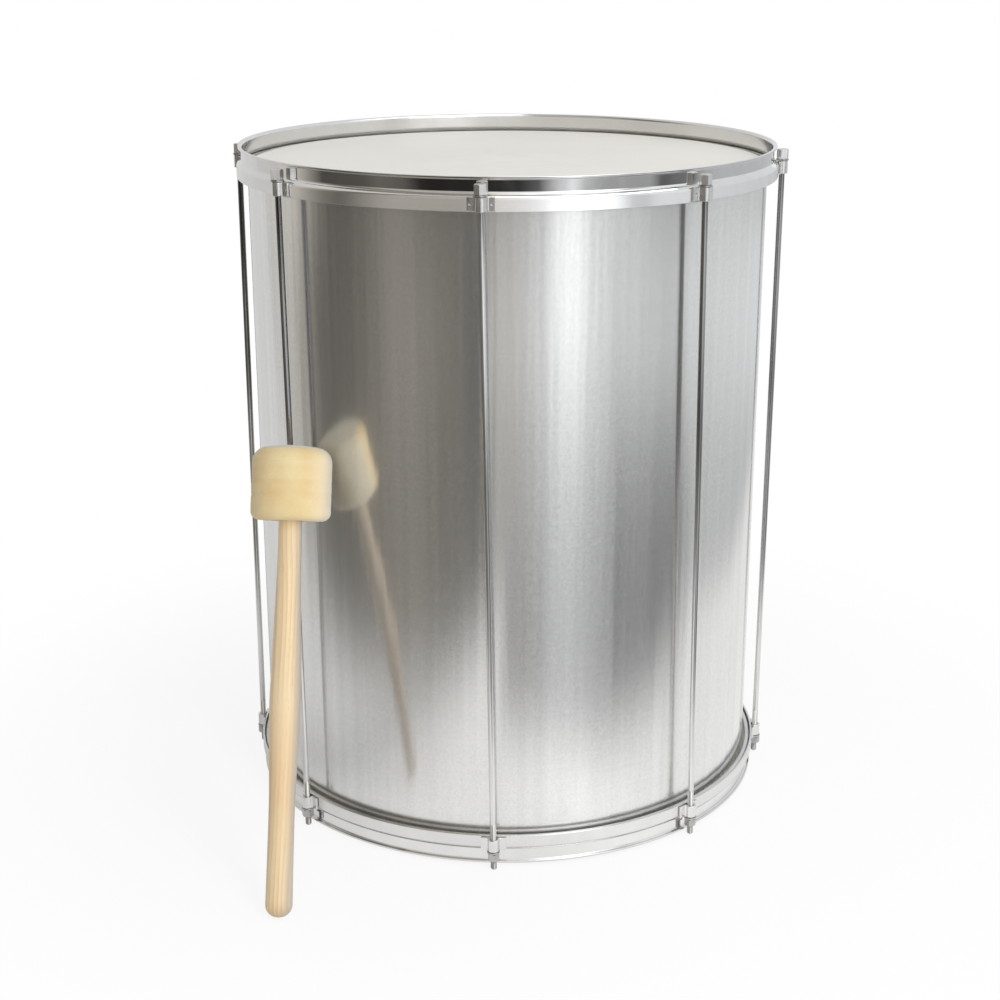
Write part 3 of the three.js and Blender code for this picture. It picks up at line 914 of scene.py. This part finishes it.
def make_hoop(name, side):
    s = settings("hoop")
    lip_steps, bend_steps, edge_steps = 10, 8, 4
    least_edge_turn = 50
    node = name + "_hoop"
    skirt_end = past_end(node, side)[0]
    seat = past_end(name + "_flesh_hoop", side)[1]
    skirt_inner = reach(node) - s.wall
    band_inner = skirt_inner - s.step
    sine, cosine, tangent = math.sin(s.slope), math.cos(s.slope), math.tan(s.slope)
    slope = math.degrees(s.slope)
    band_centre = band_inner + s.band_bend
    shoulder_run = skirt_inner - band_centre + s.band_bend * sine
    band_foot = seat + shoulder_run * tangent + s.band_bend * cosine
    skirt_centre = skirt_inner - s.skirt_bend
    skirt_top = seat + s.skirt_bend * (1 - sine) * tangent - s.skirt_bend * cosine
    face = [Vector((band_inner + s.wall + s.lip_reach, s.reach))]
    face += arc(band_inner + s.lip_bend, s.reach - s.lip_bend, s.lip_bend, 90, 180, lip_steps)
    face += arc(band_centre, band_foot, s.band_bend, 180, 270 - slope, bend_steps)
    face += arc(skirt_centre, skirt_top, s.skirt_bend, 90 - slope, 0, bend_steps)
    face += [Vector((skirt_inner, skirt_end))]
    outline = at_end(side, softened(sheet(face, s.wall), HOOP_EDGE, edge_steps, least_edge_turn))
    dress(node, new_mesh(node, lathe(outline), hoop_chrome()))


def ear_outline():
    """An ear's plan with its rod at the front: two feet along the skirt and a loop round the rod."""
    s = settings("hoop")
    foot_steps, bend_steps, loop_steps = 4, 6, 10
    inner = reach("top_hoop") + SEAT_GAP
    outer = inner + s.ear_wall
    loop_inner = settings("rod").radius + s.ear_play
    loop_outer = loop_inner + s.ear_wall
    rod_circle = reach("top_ear_1") - loop_outer
    tip = math.degrees(math.asin(s.ear_width / 2 / inner))
    start = math.degrees(math.asin(loop_inner / inner))
    bend_x = loop_outer + s.ear_bend
    bend = math.degrees(math.asin(bend_x / outer))
    bend_y = -math.sqrt(outer**2 - bend_x**2) - s.ear_bend
    half = arc(0, 0, inner, -90 + start, -90 + tip, foot_steps)
    half += arc(0, 0, outer, -90 + tip, -90 + bend, foot_steps)
    half += arc(bend_x, bend_y, s.ear_bend, 90, 180, bend_steps)[1:]
    half += arc(0, -rod_circle, loop_outer, 0, -90, loop_steps)
    loop = arc(0, -rod_circle, loop_inner, 180, 360, 2 * loop_steps)
    mirrored = [Vector((-p.x, p.y)) for p in half[:-1]]
    return half + mirrored[::-1] + loop


def weld_dimple():
    """A spot weld's shallow dimple with its raised ring, sunk into the foot at its edge."""
    radius = settings("hoop").weld_radius
    sunk, floor, crest = -0.25 * mm, 0.02 * mm, 0.16 * mm
    floor_share, crest_share = 0.45, 0.8
    ring_steps = 24
    points = [(0, sunk), (0, floor), (floor_share * radius, floor)]
    points += [(crest_share * radius, crest), (radius, sunk)]
    return lathe([Vector(point) for point in points], ring_steps)


def make_ears():
    s = settings("hoop")
    crease = 50
    low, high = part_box("top_ear_1")
    half_height = (high.z - low.z) / 2
    strap = new_mesh("ear", prism(ear_outline(), -half_height, half_height), chrome())
    edges = {"limit_method": "ANGLE", "angle_limit": math.radians(CREASE)}
    bevelled = baked(new_object("ear_blank", strap), "BEVEL", {"width": EAR_EDGE, "segments": 3, **edges})
    bent = ([tuple(v.co) for v in bevelled.vertices], [list(f.vertices) for f in bevelled.polygons])
    radius = reach("top_hoop") + SEAT_GAP + s.ear_wall
    facing = Matrix.Rotation(math.radians(90), 4, "X")
    foot_middle = (s.ear_width / 2 + settings("rod").radius + s.ear_play + s.ear_wall + s.ear_bend) / 2
    turn = math.asin(foot_middle / radius)
    welds = [moved(weld_dimple(), turn_place(sign * turn, radius) @ facing) for sign in (-1, 1)]
    mesh = new_mesh("ear", together(bent, *welds), chrome(), crease)
    for name in ENDS:
        for number in ROD_NUMBERS:
            node = f"{name}_ear_{number}"
            low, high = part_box(node)
            dress(node, mesh, turn_place(ear_azimuth(node), 0, ((low + high) / 2).z))


def ear_azimuth(node):
    """Where an ear stands round the drum, from the mean direction of its vertices."""
    x, y = points_of(node).mean(0)[:2]
    return math.atan2(x, -y)


def rod_place(number):
    """A rod's tip, with Z along the rod."""
    joint = next(j for j in frame["joints"] if j["name"] == f"rod_{number}_turn")
    lean = UP.rotation_difference(Vector(joint["axis"])).to_matrix().to_4x4()
    return Matrix.Translation(joint["pos_m"]) @ lean


def hexagon(flats):
    """Radius of a hexagon at each step round it, with a corner at the first, and its chamfer's drop there."""
    turns = np.arange(HEXAGON_STEPS) * 2 * math.pi / HEXAGON_STEPS
    corners = flats / 2 / np.cos(np.mod(turns, math.pi / 3) - math.pi / 6)
    return corners, (corners - CHAMFER_CIRCLE * flats) * math.tan(CHAMFER_SLOPE)


def thread_rings():
    """Rings of the rod's thread, which eases in over its first turns and out over its last ones."""
    s = settings("rod")
    rows_per_turn = 6
    turns_in, turns_out = 2, 3
    pitch = s.thread_pitch
    turns = np.arange(HEXAGON_STEPS) * 2 * math.pi / HEXAGON_STEPS
    rings = []
    for row in range(1, int(s.thread_length / pitch * rows_per_turn)):
        height = row * pitch / rows_per_turn
        ease = min(1, height / (turns_in * pitch), (s.thread_length - height) / (turns_out * pitch))
        wave = np.cos(2 * math.pi * height / pitch - turns)
        lead_in = min(0, height - s.tip_chamfer)
        crest = s.radius - s.thread_inset + lead_in + s.thread_depth * max(ease, 0) * wave
        rings.append((crest, height))
    return rings


def rod_shape(top):
    s = settings("rod")
    seat = top - s.head_height
    corners, drop = hexagon(s.head_flats)
    rings = [(0, 0), (s.radius - s.tip_chamfer, 0), *thread_rings()]
    rings += [(s.radius, s.thread_length + s.thread_pitch), (s.radius, seat)]
    rings += [(corners - HEAD_EDGE, seat), (corners, seat + HEAD_EDGE), (corners, top - drop)]
    rings += [(CHAMFER_CIRCLE * s.head_flats, top), (DISH_CIRCLE * s.head_flats, top), (0, top)]
    return turned(rings, HEXAGON_STEPS)


def nut_shape(low, high):
    s = settings("rod")
    corners, drop = hexagon(s.nut_flats)
    bore = s.radius + s.bore_play
    mouth, face = bore + NUT_EDGE, CHAMFER_CIRCLE * s.nut_flats
    rings = [(bore, low + NUT_EDGE), (mouth, low), (face, low), (corners, low + drop)]
    rings += [(corners, high - drop), (face, high), (mouth, high), (bore, high - NUT_EDGE)]
    return turned(rings, HEXAGON_STEPS)


def washer_shape(node, place):
    ring_steps = 40
    low, high = span(node, place)
    outer = reach(node, place)
    bore = settings("rod").radius + settings("rod").bore_play
    corners = [(bore, low), (outer, low), (outer, high), (bore, high)]
    return lathe(softened([Vector(c) for c in corners], WASHER_EDGE), ring_steps)


def make_rod_set(number):
    line = rod_place(number)
    rod, nut = f"rod_{number}", f"nut_{number}"
    angle = settings("rod").head_turn * number
    turn, back = Matrix.Rotation(angle, 4, "Z"), Matrix.Rotation(-angle, 4, "Z")
    dress(rod, new_mesh(rod, rod_shape(span(rod, line)[1]), rod_chrome()), line @ turn)
    dress(nut, new_mesh(nut, nut_shape(*span(nut, line)), plated_steel()), line @ back)
    for name in ENDS:
        washer = f"{name}_washer_{number}"
        dress(washer, new_mesh(washer, washer_shape(washer, line), plated_steel()), line)


def beater_place():
    """The middle of the handle's foot, with Z along the handle."""
    points = points_of("beater_handle")
    centre = points.mean(0)
    axis = Vector(np.linalg.svd(points - centre)[2][0])
    if axis.z < 0:
        axis.negate()
    lowest = float(((points - centre) @ np.array(axis)).min())
    foot = Vector(centre) + axis * lowest
    return Matrix.Translation(foot) @ UP.rotation_difference(axis).to_matrix().to_4x4()


def spline(points, steps):
    """A smooth curve through points, with this many steps from each to the next."""
    result = []
    for i in range(len(points) - 1):
        a, b = points[max(i - 1, 0)], points[i]
        c, d = points[i + 1], points[min(i + 2, len(points) - 1)]
        square, cube = 2 * a - 5 * b + 4 * c - d, 3 * b - a - 3 * c + d
        for k in range(steps):
            t = k / steps
            result.append(0.5 * (2 * b + (c - a) * t + square * t**2 + cube * t**3))
    return result + [points[-1]]


def make_handle():
    s = settings("beater")
    station_gap = 0.1 * mm
    end_steps, spline_steps, ring_steps = 14, 8, 72
    swell, swell_rate, swell_rate_along = 0.006, 50, 14
    crease = 50
    place = beater_place()
    points = points_of("beater_handle", place)
    stations = {}
    for x, y, z in points:
        key = round(z / station_gap)
        stations[key] = max(stations.get(key, (0, 0)), (math.hypot(x, y), z))
    foot = points[:, 2].min()
    flat = s.end_radius - s.end_round
    outline = [Vector((0, foot))]
    outline += arc(flat, foot + s.end_round, s.end_round, -90, 0, end_steps)[:-1]
    above = [Vector(stations[key]) for key in sorted(stations) if stations[key][1] > outline[-1].y]
    outline += spline(above, spline_steps)
    outline += [Vector((0, outline[-1].y))]
    vertices, faces = lathe(outline, ring_steps)
    uneven = []
    for x, y, z in vertices:
        size = 1 + swell * noise.noise((x * swell_rate, y * swell_rate, z * swell_rate_along))
        uneven.append((x * size, y * size, z))
    dress("beater_handle", new_mesh("beater_handle", (uneven, faces), turned_wood(), crease), place)


def felt_side(outer, low, high, inset, steps):
    """The felt head's side, from the middle of its top to the handle, this far inside its surface."""
    s = settings("beater")
    foot_rings = 6
    side_rings = 3 * steps
    radius = outer - inset
    top, foot = high - inset, low + inset
    top_round, foot_round = s.top_round - inset, s.foot_round - inset
    flat, foot_flat = radius - top_round, radius - foot_round
    start, end = top - s.crown - top_round, foot + foot_round
    side = [Vector((flat * k / steps, top - s.crown * (k / steps) ** 2)) for k in range(steps)]
    side += arc(flat, start, top_round, 90, 0, steps)
    side += [Vector((radius, start + (end - start) * k / side_rings)) for k in range(1, side_rings)]
    side += arc(foot_flat, end, foot_round, 0, -90, steps)
    run = s.bore - foot_flat
    return side + [Vector((foot_flat + run * k / foot_rings, foot)) for k in range(1, foot_rings + 1)]


def make_cover():
    s = settings("beater")
    outside_steps, inside_steps, ring_steps = 14, 4, 120
    groove_shares = (0.5, 0.67)
    groove_width = 0.9 * mm
    lump_rate, fine_rate, fine_share = 60, 190, 0.5
    side_share, top_share = 0.7, 0.5  # of the felt's thickness, down to which the surface is uneven
    inward_share, sag_share = 0.4, 0.5
    crease = 70
    place = beater_place()
    low, high = span("beater_cover", place)
    outer = reach("beater_cover", place)
    outside = felt_side(outer, low, high, 0, outside_steps)
    inside = felt_side(outer, low, high, s.felt, inside_steps)
    vertices, faces = lathe(outside + inside[::-1], ring_steps)
    grooves = [high - part * s.height for part in groove_shares]
    skin_radius = max(math.hypot(x, y) for x, y, z in vertices) - side_share * s.felt
    skin_level = high - s.crown - top_share * s.felt
    shaped = []
    for x, y, z in vertices:
        radius = math.hypot(x, y)
        if radius < skin_radius and z < skin_level:
            shaped.append((x, y, z))
            continue
        coarse, fine = (noise.noise((x * rate, y * rate, z * rate)) for rate in (lump_rate, fine_rate))
        lump = s.unevenness * (coarse + fine_share * fine)
        dip = sum(s.groove * math.exp(-((z - level) / groove_width) ** 2) for level in grooves)
        swell = 1 + (lump - dip - inward_share * s.unevenness) / max(radius, s.bore)
        shaped.append((x * swell, y * swell, z + sag_share * min(lump, 0)))
    mesh = new_mesh("beater_cover", (shaped, faces), wool_felt(), crease)
    piece = dress("beater_cover", mesh, place)


def finish_core():
    """The hidden core keeps its node and only gets its finish."""
    core = frame["nodes"]["beater_core"]
    core.data.materials.clear()
    core.data.materials.append(bare_wood())


def make_floor():
    """A pale floor that keeps the drum's shadow."""
    half_width = 40
    corners = [(x * half_width, y * half_width, 0) for x, y in ((-1, -1), (1, -1), (1, 1), (-1, 1))]
    floor = new_object("floor", new_mesh("floor", (corners, [[0, 1, 2, 3]]), pale_floor()))
    floor.location.z = cad_box[0].z


def make_world():
    """White to the camera. Metal sees a white backdrop behind the drum and a darker room in front of it."""
    world = bpy.data.worlds.new("studio")
    world.use_nodes = True
    bpy.context.scene.world = world
    g = Graph(world.node_tree, "Generated")
    x, y, z = g.axes()
    place = x.math("ARCTAN2", x, -y) / (2 * math.pi) + 0.5
    room = g.ramp(place, [
        (0.0, 0.75), (0.22, 0.7), (0.25, 0.4), (0.27, 0.25), (0.3, 0.12), (0.325, 0.3), (0.36, 0.5),
        (0.46, 0.5), (0.48, 0.9), (0.54, 1.2), (0.574, 2.2), (0.63, 1.5), (0.645, 0.65), (0.66, 0.7),
        (0.675, 1.05), (0.7, 1.05), (0.78, 0.85), (1.0, 0.8),
    ])
    below = g.ramp(place, [
        (0.0, 0.7), (0.22, 0.62), (0.25, 0.3), (0.27, 0.08), (0.33, 0.1), (0.35, 0.15), (0.38, 0.12),
        (0.4, 0.02), (0.51, 0.03), (0.535, 0.12), (0.56, 0.7), (0.575, 0.95), (0.59, 0.6), (0.61, 0.42),
        (0.67, 0.4), (0.685, 0.13), (0.72, 0.2), (0.755, 0.5), (0.78, 0.55), (1.0, 0.6),
    ])
    far_ground = g.ramp(place, [
        (0.0, 0.62), (0.19, 0.54), (0.222, 0.25), (0.247, 0.08), (0.275, 0.1), (0.33, 0.19),
        (0.365, 0.33), (0.39, 0.33), (0.44, 0.22), (0.47, 0.07), (0.483, 0.85), (0.528, 1.0),
        (0.552, 1.35), (0.574, 1.8), (0.598, 1.35), (0.622, 0.95), (0.65, 1.1), (0.7, 1.0),
        (0.735, 1.05), (0.77, 0.9), (1.0, 0.75),
    ])
    near_ground = g.ramp(place, [
        (0.0, 0.55), (0.186, 0.6), (0.222, 0.36), (0.25, 0.14), (0.275, 0.13), (0.34, 0.2),
        (0.385, 0.22), (0.44, 0.13), (0.475, 0.1), (0.485, 0.35), (0.51, 0.28), (0.55, 0.4),
        (0.574, 0.5), (0.6, 0.36), (0.625, 0.33), (0.645, 0.15), (0.67, 0.2), (0.71, 0.11),
        (0.735, 0.16), (0.765, 0.5), (1.0, 0.5),
    ])
    ground = g.mix(g.step(z, -0.3, -0.21), near_ground, far_ground)
    lower = g.mix(g.step(z, -0.165, -0.15), ground, below)
    whole = g.mix(g.step(z, -0.07, -0.01), lower, room)
    warm = g.mix(g.step(place, 0.12, 0.26), WHITE, (1.04, 0.98, 0.88))
    cast = g.mix(g.step(place, 0.42, 0.56), warm, (0.98, 0.995, 1.02))
    mirrored = g.mix(1.0, whole, cast, "MULTIPLY")
    seen, glossy = g.rays()
    fill = (settings("studio").fill,) * 3
    tone = g.mix(seen, g.mix(glossy, fill, mirrored), WHITE)
    sky = g.add("ShaderNodeBackground", None, {"Color": tone, "Strength": 1.0})
    g.add("ShaderNodeOutputWorld", None, {"Surface": sky})


def make_lamp(name, watts, size, place):
    """A lamp of this width and height, aimed at the middle of the drum and its beater."""
    data = bpy.data.lights.new(name, "AREA")
    data.shape = "RECTANGLE"
    data.size, data.size_y = size
    data.energy = watts
    lamp = new_object(name, data, Matrix.Translation(place))
    aim = (cad_box[0] + cad_box[1]) / 2 - Vector(place)
    lamp.rotation_mode = "QUATERNION"
    lamp.rotation_quaternion = aim.to_track_quat("-Z", "Y")
    return lamp


def make_lamps():
    s = settings("studio")
    key = make_lamp("key_lamp", s.key_power, size=(0.6, 1.4), place=(0.93, -1.85, 1.3))
    key.visible_glossy = False
    make_lamp("top_lamp", s.top_power, size=(1.3, 1.3), place=(0.5, -0.1, 2.3))


def make_camera():
    s = settings("studio")
    data = bpy.data.cameras.new("camera")
    data.lens = s.lens
    data.sensor_width = 36
    data.shift_x = s.shift
    data.clip_start, data.clip_end = 0.05, 100
    camera = new_object("camera", data)
    camera.location = (0, -s.distance, cad_box[0].z + s.height)
    camera.rotation_euler = (math.radians(90) - s.pitch, 0, 0)
    bpy.context.scene.camera = camera


class SURDO_OT_shell(Operator):
    """Makes the smooth shell, its seam and its eyelet"""

    bl_idname = "surdo.shell"
    bl_label = "Shell"

    def execute(self, context):
        make_shell()
        make_seam()
        make_eyelet()
        return {"FINISHED"}


class SURDO_OT_heads(Operator):
    """Makes both films and their flesh hoops"""

    bl_idname = "surdo.heads"
    bl_label = "Heads"

    def execute(self, context):
        for name, side in ENDS.items():
            make_head(name, side)
            make_flesh_hoop(name, side)
        return {"FINISHED"}


class SURDO_OT_hoops(Operator):
    """Makes both counterhoops and their ears"""

    bl_idname = "surdo.hoops"
    bl_label = "Hoops and ears"

    def execute(self, context):
        for name, side in ENDS.items():
            make_hoop(name, side)
        make_ears()
        return {"FINISHED"}


class SURDO_OT_rods(Operator):
    """Makes the rods with their nuts and washers"""

    bl_idname = "surdo.rods"
    bl_label = "Rods, nuts and washers"

    def execute(self, context):
        for number in ROD_NUMBERS:
            make_rod_set(number)
        return {"FINISHED"}


class SURDO_OT_beater(Operator):
    """Makes the beater's handle and felt head, and finishes its core"""

    bl_idname = "surdo.beater"
    bl_label = "Beater"

    def execute(self, context):
        make_handle()
        make_cover()
        finish_core()
        return {"FINISHED"}


class SURDO_OT_studio(Operator):
    """Makes the floor, the lamps, the world and the camera"""

    bl_idname = "surdo.studio"
    bl_label = "Studio"

    def execute(self, context):
        make_floor()
        make_world()
        make_lamps()
        make_camera()
        context.scene.view_settings.view_transform = "Standard"
        return {"FINISHED"}


class SURDO_PT_panel(Panel):
    """Lists the steps and their settings"""

    bl_label = "Samba drum"
    bl_space_type = "VIEW_3D"
    bl_region_type = "UI"
    bl_category = "Samba drum"

    def draw(self, context):
        for operator in OPERATORS:
            self.layout.operator(operator.bl_idname)
        for name, group in GROUPS.items():
            box = self.layout.box()
            box.label(text=name.capitalize())
            for key in group.__annotations__:
                box.prop(settings(name), key)


OPERATORS = (
    SURDO_OT_studio,
    SURDO_OT_shell,
    SURDO_OT_heads,
    SURDO_OT_hoops,
    SURDO_OT_rods,
    SURDO_OT_beater,
)
GROUPS = {
    "shell": ShellSettings,
    "head": HeadSettings,
    "hoop": HoopSettings,
    "rod": RodSettings,
    "beater": BeaterSettings,
    "studio": StudioSettings,
}


def register():
    for item in (*GROUPS.values(), *OPERATORS, SURDO_PT_panel):
        bpy.utils.register_class(item)
    for name, group in GROUPS.items():
        setattr(bpy.types.Scene, "surdo_" + name, PointerProperty(type=group))


def unregister():
    for name in GROUPS:
        delattr(bpy.types.Scene, "surdo_" + name)
    for item in (SURDO_PT_panel, *reversed(OPERATORS), *reversed(GROUPS.values())):
        bpy.utils.unregister_class(item)


def main():
    register()
    bpy.ops.surdo.studio()
    bpy.ops.surdo.shell()
    bpy.ops.surdo.heads()
    bpy.ops.surdo.hoops()
    bpy.ops.surdo.rods()
    bpy.ops.surdo.beater()


if __name__ == "__main__":
    main()
